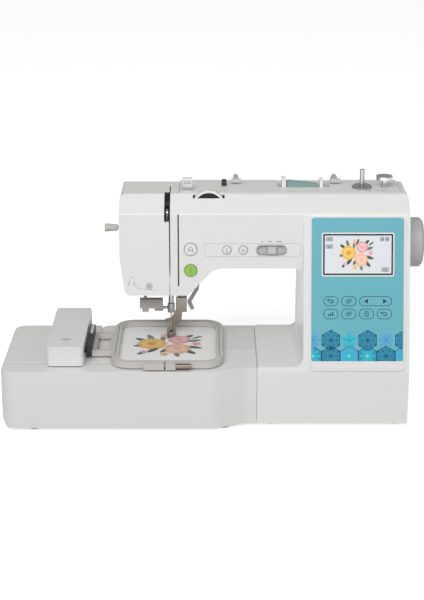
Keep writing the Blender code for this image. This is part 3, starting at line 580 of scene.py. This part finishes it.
# yellows, pinks and peaches of the flowers, then the greens of the leaves
threadTones = [(244, 190, 92), (250, 208, 120), (238, 160, 62), (240, 168, 178), (248, 198, 204),
               (246, 190, 160), (252, 212, 186), (52, 84, 70), (110, 140, 112), (78, 110, 88)]
firstLeafTone = 7


clothPlan = {
    "corner": 19.4,
    "dip": 0.16,  # how much lower the rim lies than the middle
    "dipReach": 5.0,
    "bouquetSize": 45.0,  # half the side of the embroidered square
    "stitchRelief": 0.3,
    "bouquetShift": 1.0,  # the design sits this far behind the cloth's middle
}


def embroidery():
    # raised satin stitches on the stretched cloth
    low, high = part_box("hooped_fabric")
    centre = ((low[0] + high[0]) / 2 / mm, (low[1] + high[1]) / 2 / mm + clothPlan["bouquetShift"])
    shape = bmesh.new()
    addBouquet(shape, centre, clothPlan["bouquetSize"], clothPlan["stitchRelief"])
    threads = [thread("stitch" + str(index), rgb(*tone), 70.0) for index, tone in enumerate(threadTones)]
    return finish("satinBouquet", place(shape, Matrix.Translation((0, 0, high[2]))), threads,
                  "hoop_frame", 180)


def hoopCloth():
    # the cloth held drum tight in the hoop: level in the middle, a shade lower along the rim
    low, high = boxOf("hooped_fabric")
    width, length = high[0] - low[0], high[1] - low[1]
    middleX, middleY = (low[0] + high[0]) / 2, (low[1] + high[1]) / 2
    corner = clothPlan["corner"]
    shape = bmesh.new()
    bmesh.ops.create_grid(
        shape, x_segments=64, y_segments=64, size=0.5,
        matrix=Matrix.Translation((middleX, middleY, 0)) @ Matrix.Diagonal((width, length, 1, 1)))
    for vert in shape.verts:
        # squares become a rounded rectangle by pulling each corner's points in along their ray
        x, y = vert.co.x - middleX, vert.co.y - middleY
        over = (abs(x) - width / 2 + corner, abs(y) - length / 2 + corner)
        if min(over) > 0:
            reach, pull = max(over), max(over) / math.hypot(*over)
            x = math.copysign(width / 2 - corner + over[0] * pull, x)
            y = math.copysign(length / 2 - corner + over[1] * pull, y)
        rim = min(width / 2 - abs(x), length / 2 - abs(y))
        dip = clothPlan["dip"] * math.exp(-rim / clothPlan["dipReach"])
        vert.co = (x + middleX, y + middleY, high[2] - dip - 0.05)
    place(shape, Matrix.Identity(4))
    cloth = finish("hoopCloth", shape, finishes["cloth"], "hoop_frame", 180)
    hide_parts("hooped_fabric")
    embroidery()


hoopCloth()


# the leaning panel

panelPlan = {
    "strip": 9.3,  # the white strip at the foot
    "cell": 22.3,  # width of one hexagon
    "upperStart": 12.6,  # where the upper and the lower row of tiles begin
    "lowerStart": 1.4,
    "keyRows": ((60.5, 73.1), (76.4, 88.3)),
    "keyColumns": ((14.7, 32.4), (36.2, 54.3), (57.9, 75.7), (79.5, 97.3)),
    "border": ((12.2, 112.3), (100.1, 165.4)),  # low and high corner of the white frame round the screen
    "borderWide": 1.7,
    "pictureInset": 3.6,
    # lower left corner in the picture, and width
    "badges": ((1.2, 39.0, 8.8), (1.2, 30.0, 8.8), (67.0, 39.0, 4.8), (73.0, 39.0, 4.8), (68.6, 2.2, 9.2)),
    "badgeTall": 5.6,
}


def addSlabLine(shape, start, angle, length, wide, material):
    # a printed line from a point along an angle
    made = bmesh.new()
    spot = (Matrix.Translation((start[0], start[1], 0.06)) @ Matrix.Rotation(angle, 4, "Z")
            @ Matrix.Translation((length / 2, 0, 0)) @ Matrix.Diagonal((length, wide, 0.06, 1)))
    bmesh.ops.create_cube(made, size=1.0, matrix=spot)
    append(shape, made, material)


def starTile(shape, centre, side, fill, line):
    # a six-sided tile split by lines from its middle and by a star across it
    x, y = centre
    addDisc(shape, centre, side * 0.98, (0.0, 0.03), 6, fill)
    addDisc(shape, centre, side, (0.02, 0.08), 6, line, 0.0, side * 0.93)
    for number in range(12):
        angle = number * math.pi / 6
        reach = side * (0.84 if number % 2 else 0.96)
        addSlabLine(shape, centre, math.pi / 2 - angle, reach, 0.5, line)
    for number in range(6):
        for sway in (-0.3, 0.3):
            angle = number * math.pi / 3
            start = (x + math.sin(angle) * side * 0.94, y + math.cos(angle) * side * 0.94)
            addSlabLine(shape, start, -math.pi / 2 - angle - sway * 1.5, side * 0.62, 0.45, line)


def petalTile(shape, centre, side, count, tone, heart):
    # a blossom of even petals round a small disc
    x, y = centre
    for number in range(count):
        angle = number * 2 * math.pi / count + math.pi / 2
        at = (x + math.cos(angle) * side * 0.44, y + math.sin(angle) * side * 0.44)
        addPetal(shape, at, angle, side * 0.74, side * 2.0 / count, 0.05, tone, 0.03, 6)
    addDisc(shape, centre, side * 0.12, (0.05, 0.1), 12, heart)


tileTones = [(92, 176, 222), (52, 156, 190), (44, 196, 216), (10, 84, 118), (168, 226, 240)]


def hexPattern():
    # two rows of tiles, some starred, some with a blossom on the plain film, cut off at the band's edges
    cell = panelPlan["cell"]
    low = panelPlan["strip"]
    side = cell / math.sqrt(3)
    shape = bmesh.new()
    for column, kind in enumerate("ososos"):
        centre = ((column - 0.5) * cell + panelPlan["upperStart"], low + side * 1.98)
        if kind == "s":
            starTile(shape, centre, side, 1, 3)
        else:
            petalTile(shape, centre, side, 5 if column % 4 else 8, 2 if column % 4 else 0, 1)
    for column in range(7):
        centre = (column * cell + panelPlan["lowerStart"], low + side * 0.48)
        if column % 3 == 1:
            starTile(shape, centre, side, 1, 3)
        else:
            addDisc(shape, centre, side * 0.97, (0.0, 0.02), 6, 0 if column % 3 else 1)
            addDisc(shape, centre, side, (0.0, 0.06), 6, 3, 0.0, side * 0.94)
            petalTile(shape, centre, side, 8, 2, 4)
    edge = 0.8
    limits = (((0, low, 0), (0, -1, 0)), ((edge, 0, 0), (-1, 0, 0)), ((panelWidth - edge, 0, 0), (1, 0, 0)))
    for spot, normal in limits:
        everything = shape.verts[:] + shape.edges[:] + shape.faces[:]
        cutOff = bmesh.ops.bisect_plane(shape, geom=everything, dist=0.0001, plane_co=spot,
                                        plane_no=normal, clear_outer=True)
        edges = [item for item in cutOff["geom_cut"] if isinstance(item, bmesh.types.BMEdge)]
        bmesh.ops.holes_fill(shape, edges=edges, sides=0)
    tones = [plastic("tile" + str(index), rgb(*tone), 0.3, 0.04) for index, tone in enumerate(tileTones)]
    finish("hexPattern", place(shape, onPanel), tones, "machine", 30)


def panelFace():
    # the overlay itself: white back, coloured film, raised rim, and the screen's border and bezel
    shape = bmesh.new()
    addSlab(shape, (0, 0), (panelWidth, panelHeight), (-0.35, -0.05), 4.0)
    finish("panelBack", place(shape, onPanel), finishes["shell"], "machine")
    shape = bmesh.new()
    addSlab(shape, (0, panelPlan["strip"]), (panelWidth, panelHeight), (-0.05, 0.0), 2.0)
    teal = plastic("tealFilm", rgb(112, 190, 204), 0.28, 0.04, Coat_Weight=0.3)
    film = finish("panelFilm", place(shape, onPanel), teal, "machine")
    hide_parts("panel_overlay")
    shape = bmesh.new()
    addSlab(shape, (-2.8, -2.8), (panelWidth + 2.8, panelHeight + 2.8), (-1.2, 0.06), 6.0, 1.6)
    finish("panelRim", place(shape, onPanel), finishes["shell"], "machine")
    low, high = panelPlan["border"]
    wide = panelPlan["borderWide"]
    shape = bmesh.new()
    addSlab(shape, low, high, (0.0, 0.12), 2.2, wide)
    finish("screenBorder", place(shape, onPanel), finishes["shell"], "machine")
    shape = bmesh.new()
    addSlab(shape, (low[0] + wide, low[1] + wide), (high[0] - wide, high[1] - wide), (-0.02, 0.03), 1.0)
    glass = plastic("screenBlack", rgb(24, 26, 30), 0.12, 0.03, Coat_Weight=0.6)
    bezel = finish("screenBezel", place(shape, onPanel), glass, "machine")
    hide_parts("lcd_screen")


badgeTones = [(186, 190, 196), (50, 56, 64)]


def glow(material, strength):
    # lets a screen colour shine by itself
    tree = material.node_tree
    shader = tree.nodes["Principled BSDF"]
    group = next(node for node in tree.nodes if node.type == "GROUP")
    tree.links.new(group.outputs["Colour"], shader.inputs["Emission Color"])
    shader.inputs["Emission Strength"].default_value = strength
    return material


def screenPicture():
    # the lit picture: a pale ground, the bouquet and small generic badges
    (x0, y0), (x1, y1) = panelPlan["border"]
    inset = panelPlan["pictureInset"]
    x0, y0, x1, y1 = x0 + inset, y0 + inset, x1 - inset, y1 - inset
    shape = bmesh.new()
    addSlab(shape, (x0, y0), (x1, y1), (0.02, 0.05), 0.4)
    ground = glow(plastic("screenWhite", rgb(224, 227, 231), 0.15, 0.02), 0.15)
    finish("screenGround", place(shape, onPanel), ground, "machine")
    shape = bmesh.new()
    addBouquet(shape, ((x0 + x1) / 2 - 1.5, (y0 + y1) / 2), 21.5, 0.03)
    bmesh.ops.translate(shape, vec=(0, 0, 0.06), verts=shape.verts)
    plate = len(threadTones)
    for across, up, wide in panelPlan["badges"]:
        left, bottom = x0 + across, y0 + up
        middle = left + wide / 2
        addSlab(shape, (left, bottom), (left + wide, bottom + panelPlan["badgeTall"]), (0.05, 0.09), 0.8,
                0.0, plate)
        addSlab(shape, (middle - 1.6, bottom + 1.5), (middle + 1.6, bottom + 4.1), (0.09, 0.12), 0.5, 0.5,
                plate + 1)
    tones = [glow(plastic("screenTone" + str(index), rgb(*tone), 0.2, 0.02), 0.15)
             for index, tone in enumerate(threadTones + badgeTones)]
    finish("screenPicture", place(shape, onPanel), tones, "machine", 180)


def keySign(shape, kind, centre, rise):
    # plain signs: a bent arrow, two sheets, a page, rising bars and arrows to the left and right
    x, y = centre
    if kind == "turn":
        addDisc(shape, (x - 3.2, y + 1.3), 2.0, rise, 3, 0, math.pi / 2)
        addSlab(shape, (x - 2.2, y + 0.9), (x + 2.4, y + 1.8), rise)
        addSlab(shape, (x + 2.0, y - 1.9), (x + 3.0, y + 1.8), rise)
        addSlab(shape, (x - 1.8, y - 2.2), (x + 3.0, y - 1.3), rise)
    elif kind == "copy":
        addSlab(shape, (x - 3.4, y - 2.8), (x + 0.6, y + 1.4), rise, 0.5, 0.7)
        addSlab(shape, (x - 0.4, y - 1.2), (x + 3.4, y + 2.8), rise, 0.5, 0.7)
    elif kind == "page":
        addSlab(shape, (x - 2.4, y - 3.2), (x + 2.4, y + 3.2), rise, 0.6, 0.7)
        addSlab(shape, (x - 1.0, y + 0.5), (x + 1.0, y + 1.2), rise)
        addSlab(shape, (x - 1.0, y - 1.3), (x + 1.0, y - 0.6), rise)
    elif kind == "bars":
        for number in range(3):
            left = x - 3.2 + number * 2.4
            addSlab(shape, (left, y - 2.6), (left + 1.4, y - 0.4 + number * 1.5), rise)
    else:
        addDisc(shape, centre, 3.4, rise, 3, 0, math.pi / 2 if kind == "left" else -math.pi / 2)


def panelKeys():
    # outlined touch keys, the two arrows sharing one outline
    shape = bmesh.new()
    rise = (0.0, 0.09)
    lower, upper = panelPlan["keyRows"]
    columns = panelPlan["keyColumns"]
    outlines = [(lower, column) for column in columns]
    outlines += [(upper, columns[0]), (upper, columns[1]), (upper, (columns[2][0], columns[3][1]))]
    for (bottom, top), (left, right) in outlines:
        addSlab(shape, (left, bottom), (right, top), rise, 5.4, 0.7)
    signs = ((lower, ("bars", "copy", "page", "turn")), (upper, ("turn", "copy", "left", "right")))
    for (bottom, top), kinds in signs:
        for (left, right), kind in zip(columns, kinds):
            keySign(shape, kind, ((left + right) / 2, (bottom + top) / 2), rise)
    ink = plastic("keyInk", rgb(20, 70, 88), 0.35, 0.03)
    finish("keyMarks", place(shape, onPanel), ink, "machine")


hexPattern()
panelFace()
screenPicture()
panelKeys()
print("panel ready")


# the head's front: rings and signs of the buttons, slider bed, printed lines

def buttonPlan(node):
    # a button's centre on the head's front, its radius and how far it stands proud
    low, high = boxOf(node)
    return ((low[0] + high[0]) / 2, (low[2] + high[2]) / 2), (high[0] - low[0]) / 2, -low[1] + headFront / mm


def headControls():
    # a ring round each button, and its sign, which moves with it
    rings = bmesh.new()
    for node in ("reverse_button", "start_stop_button", "needle_position_button", "thread_cutter_button"):
        centre, radius, proud = buttonPlan(node)
        addDisc(rings, centre, radius + 1.2, (-0.1, 0.45), 40, 0, 0.0, radius + 0.4)
        signs = bmesh.new()
        x, y = centre
        top = (proud - 0.02, proud + 0.06)
        if node == "reverse_button":
            addDisc(signs, (x, y + 0.6), 2.6, top, 24, 0, 0.0, 2.0)
            addSlab(signs, (x - 2.6, y - 2.8), (x - 2.0, y + 0.6), top)
            addDisc(signs, (x + 2.3, y - 2.0), 1.2, top, 3, 0, math.pi)
        elif node == "start_stop_button":
            addDisc(signs, (x, y + 2.6), 0.9, top, 16)
            addSlab(signs, (x - 0.5, y - 3.4), (x + 0.5, y + 0.6), top, 0.4)
        elif node == "needle_position_button":
            addDisc(signs, (x, y + 1.9), 1.0, top, 3)
            addDisc(signs, (x, y - 0.4), 1.0, top, 3, 0, math.pi)
            addSlab(signs, (x - 1.8, y - 2.6), (x + 1.8, y - 2.1), top)
        else:
            addDisc(signs, (x - 1.4, y - 1.6), 0.9, top, 16, 0, 0.0, 0.5)
            addDisc(signs, (x + 1.4, y - 1.6), 0.9, top, 16, 0, 0.0, 0.5)
            addPetal(signs, (x - 0.1, y + 0.6), 0.9, 4.6, 0.5, 0.05, 0, proud)
            addPetal(signs, (x + 0.1, y + 0.6), math.pi - 0.9, 4.6, 0.5, 0.05, 0, proud)
        finish(node + "Sign", place(signs, onHead), finishes["print"], node)
    finish("buttonRings", place(rings, onHead), finishes["trim"], "machine")


sliderPlan = {
    "rim": (49.4, 87.6, 7.0, 6.8),  # left, right, half height and corner of the raised outline
    "floor": (50.4, 87.0, 6.0, 5.8),
    "dots": (57.0, 66.6, 77.6),
    "dotLift": 11.0,
    "dotPitch": 2.1,
    "ribPitch": 1.7,
    "ribHalf": (0.3, 3.6),
}


def sliderBed():
    # dished bed of the speed slider with the knob's ribs and the dots above it
    low, high = boxOf("speed_slider")
    middle = (low[2] + high[2]) / 2
    shape = bmesh.new()
    left, right, half, corner = sliderPlan["rim"]
    addSlab(shape, (left, middle - half), (right, middle + half), (-0.1, 0.5), corner, 1.1)
    left, right, half, corner = sliderPlan["floor"]
    addSlab(shape, (left, middle - half), (right, middle + half), (-4.2, -3.6), corner)
    finish("sliderBed", place(shape, onHead), finishes["trim"], "machine")
    shape = bmesh.new()
    for number, x in enumerate(sliderPlan["dots"]):
        for dot in range(number + 1):
            centre = (x + (dot - number / 2) * sliderPlan["dotPitch"], middle + sliderPlan["dotLift"])
            addDisc(shape, centre, 0.75, (-0.02, 0.06), 12)
    finish("speedDots", place(shape, onHead), finishes["print"], "machine")
    shape = bmesh.new()
    wide, tall = sliderPlan["ribHalf"]
    for number in range(5):
        x = (low[0] + high[0]) / 2 + (number - 2) * sliderPlan["ribPitch"]
        addSlab(shape, (x - wide, middle - tall), (x + wide, middle + tall), (2.9, 3.3), 0.2)
    finish("sliderRibs", place(shape, onHead), finishes["shell"], "speed_slider")


printPlan = {
    "strip": ((-13.0, 203.2), (104.0, 220.4)),
    "line": (-107, 164),  # where the stitch line starts
    "lineHump": (14, 9, 7),  # height of its hump, step of its top and how many steps wide it is
    "flower": (-81, 165.5),
}


def headPrint():
    # shallow strip round the controls and a generic stitch line with a flower on the face
    shape = bmesh.new()
    addSlab(shape, *printPlan["strip"], (-0.02, 0.12), 3.0, 0.35)
    finish("controlStrip", place(shape, onHead), finishes["trim"], "machine")
    shape = bmesh.new()
    startX, startY = printPlan["line"]
    hump, top, broad = printPlan["lineHump"]
    points = [(startX + step * 0.5, startY + hump * math.exp(-((step - top) / broad) ** 2) - 0.06 * step)
              for step in range(74)]
    for (x0, y0), (x1, y1) in zip(points, points[1:]):
        if int((x0 - startX) / 1.1) % 3 == 2:
            continue
        length = math.hypot(x1 - x0, y1 - y0)
        centre, angle = ((x0 + x1) / 2, (y0 + y1) / 2), math.atan2(y1 - y0, x1 - x0)
        addPetal(shape, centre, angle, length * 1.3, 0.55, 0.05, 0, 0.0, 4)
    x, y = printPlan["flower"]
    for number in range(5):
        angle = number * 2 * math.pi / 5
        across, up = math.cos(angle), math.sin(angle)
        addPetal(shape, (x + across * 2.4, y + up * 2.4), angle, 3.4, 0.5, 0.05, 0, 0.0, 4)
        addDisc(shape, (x + across * 2.6, y + up * 2.6), 1.8, (-0.02, 0.05), 16, 0, 0.0, 1.5)
    finish("stitchPrint", place(shape, onHead), finishes["print"], "machine")


headControls()
sliderBed()
headPrint()
print("controls ready")


# top of the machine and the moving details

def onAxis(x, y, z, axis):
    # a frame at a point whose own z lies along the machine's x or y
    turns = {"X": Matrix.Rotation(math.pi / 2, 4, "Y"), "Y": Matrix.Rotation(-math.pi / 2, 4, "X")}
    return Matrix.Translation((x * mm, y * mm, z * mm)) @ turns[axis]


def woundSpool():
    # tapered spool whose thread is laid in fine crossing turns
    low, high = boxOf("thread_spool")
    length, middle = high[0] - low[0], ((low[1] + high[1]) / 2, (low[2] + high[2]) / 2)
    thick, thin = (high[2] - low[2]) / 2, 8.8
    shape = bmesh.new()
    sides, rows = 40, 90
    rims = []
    for row in range(rows + 1):
        share = row / rows
        radius = thick + (thin - thick) * share - 0.35 - 0.18 * (row % 2)
        radius -= 1.2 * max(0.0, 1 - min(share, 1 - share) * 18)
        ring = []
        for side in range(sides):
            angle = side * 2 * math.pi / sides
            twist = 0.12 * math.sin(3 * angle + row * 0.5)
            out = radius + twist
            ring.append(shape.verts.new((math.cos(angle) * out, math.sin(angle) * out, share * length)))
        rims.append(ring)
    for first, second in zip(rims, rims[1:]):
        for side in range(sides):
            after = (side + 1) % sides
            shape.faces.new((first[side], first[after], second[after], second[side]))
    shape.faces.new(rims[0][::-1])
    shape.faces.new(rims[-1])
    bmesh.ops.recalc_face_normals(shape, faces=shape.faces)
    place(shape, onAxis(low[0], *middle, "X"))
    piece = finish("woundThread", shape, finishes["spoolThread"], "spool", 60)
    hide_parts("thread_spool")


def dialMarks():
    # pale rim with ticks round the tension dial
    low, high = boxOf("tension_dial")
    middle = ((low[0] + high[0]) / 2, (low[1] + high[1]) / 2, (low[2] + high[2]) / 2)
    radius = (high[2] - low[2]) / 2
    shape = bmesh.new()
    addDisc(shape, (0, 0), radius, (-3.9, 3.9), 64, 0, 0.0, radius - 3.0)
    addDisc(shape, (0, 0), radius - 0.8, (-3.2, 3.2), 64, 1)
    for number in range(36):
        made = bmesh.new()
        angle = number * math.pi / 18
        tall = 3.0 if number % 4 == 0 else 1.8
        spot = (Matrix.Rotation(angle, 4, "Z") @ Matrix.Translation((radius - 0.35, 0, 0))
                @ Matrix.Diagonal((0.7, 0.5, tall * 2, 1)))
        bmesh.ops.create_cube(made, size=1.0, matrix=spot)
        append(shape, made, 1)
    piece = finish("dialMarks", place(shape, onAxis(*middle, "Y")), [finishes["shell"], finishes["black"]],
                   "tension_dial")
    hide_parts("tension_dial")


def knurledScrew():
    # fluted head with a flat end and a threaded shank for the hoop screw
    low, high = boxOf("hoop_screw")
    y, z, radius = (low[1] + high[1]) / 2, (low[2] + high[2]) / 2, (high[2] - low[2]) / 2
    shape = bmesh.new()
    head = high[0] - 18.0
    for number in range(28):
        start = number * 0.6
        wide = radius - (0.45 if number % 2 else 0.1)
        addDisc(shape, (0, 0), wide, (head + start, head + start + 0.62), 20)
    addDisc(shape, (0, 0), radius - 0.9, (head + 16.8, high[0] - 0.1), 20)
    steps = int((head - low[0]) / 0.8)
    for number in range(steps):
        start = low[0] + number * 0.8
        addDisc(shape, (0, 0), 1.42 if number % 2 else 1.22, (start, start + 0.82), 14)
    piece = finish("knurledScrew", place(shape, onAxis(0, y, z, "X")), finishes["brownMetal"],
                   "hoop_screw")
    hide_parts("hoop_screw")


def threadPath():
    # painted shade: a black plate set just inside the second thread channel, so the slot reads dark
    shape = bmesh.new()
    addSlab(shape, (-45.9, 166.0), (-44.1, 256.0), (-1.9, -0.6))
    finish("channelShade", place(shape, onHead), finishes["black"], "machine")


def topMarks():
    # small printed dashes on the flat top by the dial and the winder, and the ringed sign on the carriage
    low, high = boxOf("top_cover")
    flat = Matrix.Translation((0, 0, high[2] * mm))
    shape = bmesh.new()
    for number in range(6):
        addSlab(shape, (-20 + number * 5.0, -1.6), (-17.4 + number * 5.0, -0.8), (-0.02, 0.05))
    for x in (176.0, 184.0, 197.0, 203.0, 206.0):
        addSlab(shape, (x, 1.0), (x + 3.4, 1.8), (-0.02, 0.05))
    addDisc(shape, (190.5, 1.4), 1.6, (-0.02, 0.05), 16, 0, 0.0, 1.1)
    finish("topMarks", place(shape, flat), finishes["print"], "machine")
    shape = bmesh.new()
    low, high = boxOf("carriage_cover")
    x, y = -183.0, -62.0
    for number in range(3):
        addDisc(shape, (x, y), 5.2 - number * 1.7, (-0.02, 0.05), 28, 0, 0.0, 4.9 - number * 1.7)
    addSlab(shape, (x - 9.0, y - 0.3), (x + 9.0, y + 0.1), (-0.02, 0.05))
    flat = Matrix.Translation((0, 0, high[2] * mm))
    finish("carriageSign", place(shape, flat), finishes["print"], "carriage")


def wheelGrip():
    # shallow grip ribs round the handwheel's rim
    low, high = boxOf("handwheel")
    y, z, radius = (low[1] + high[1]) / 2, (low[2] + high[2]) / 2, (high[2] - low[2]) / 2
    shape = bmesh.new()
    for number in range(60):
        angle = number * math.pi / 30
        made = bmesh.new()
        spot = (Matrix.Rotation(angle, 4, "Z") @ Matrix.Translation((radius - 0.45, 0, high[0] - 13.0))
                @ Matrix.Diagonal((0.7, 1.1, 11.0, 1)))
        bmesh.ops.create_cube(made, size=1.0, matrix=spot)
        append(shape, made)
    place(shape, onAxis(0, y, z, "X"))
    finish("wheelGrip", shape, finishes["trim"], "main_shaft")


threadPath()
topMarks()
wheelGrip()
woundSpool()
dialMarks()
knurledScrew()
print("top and hoop details ready")
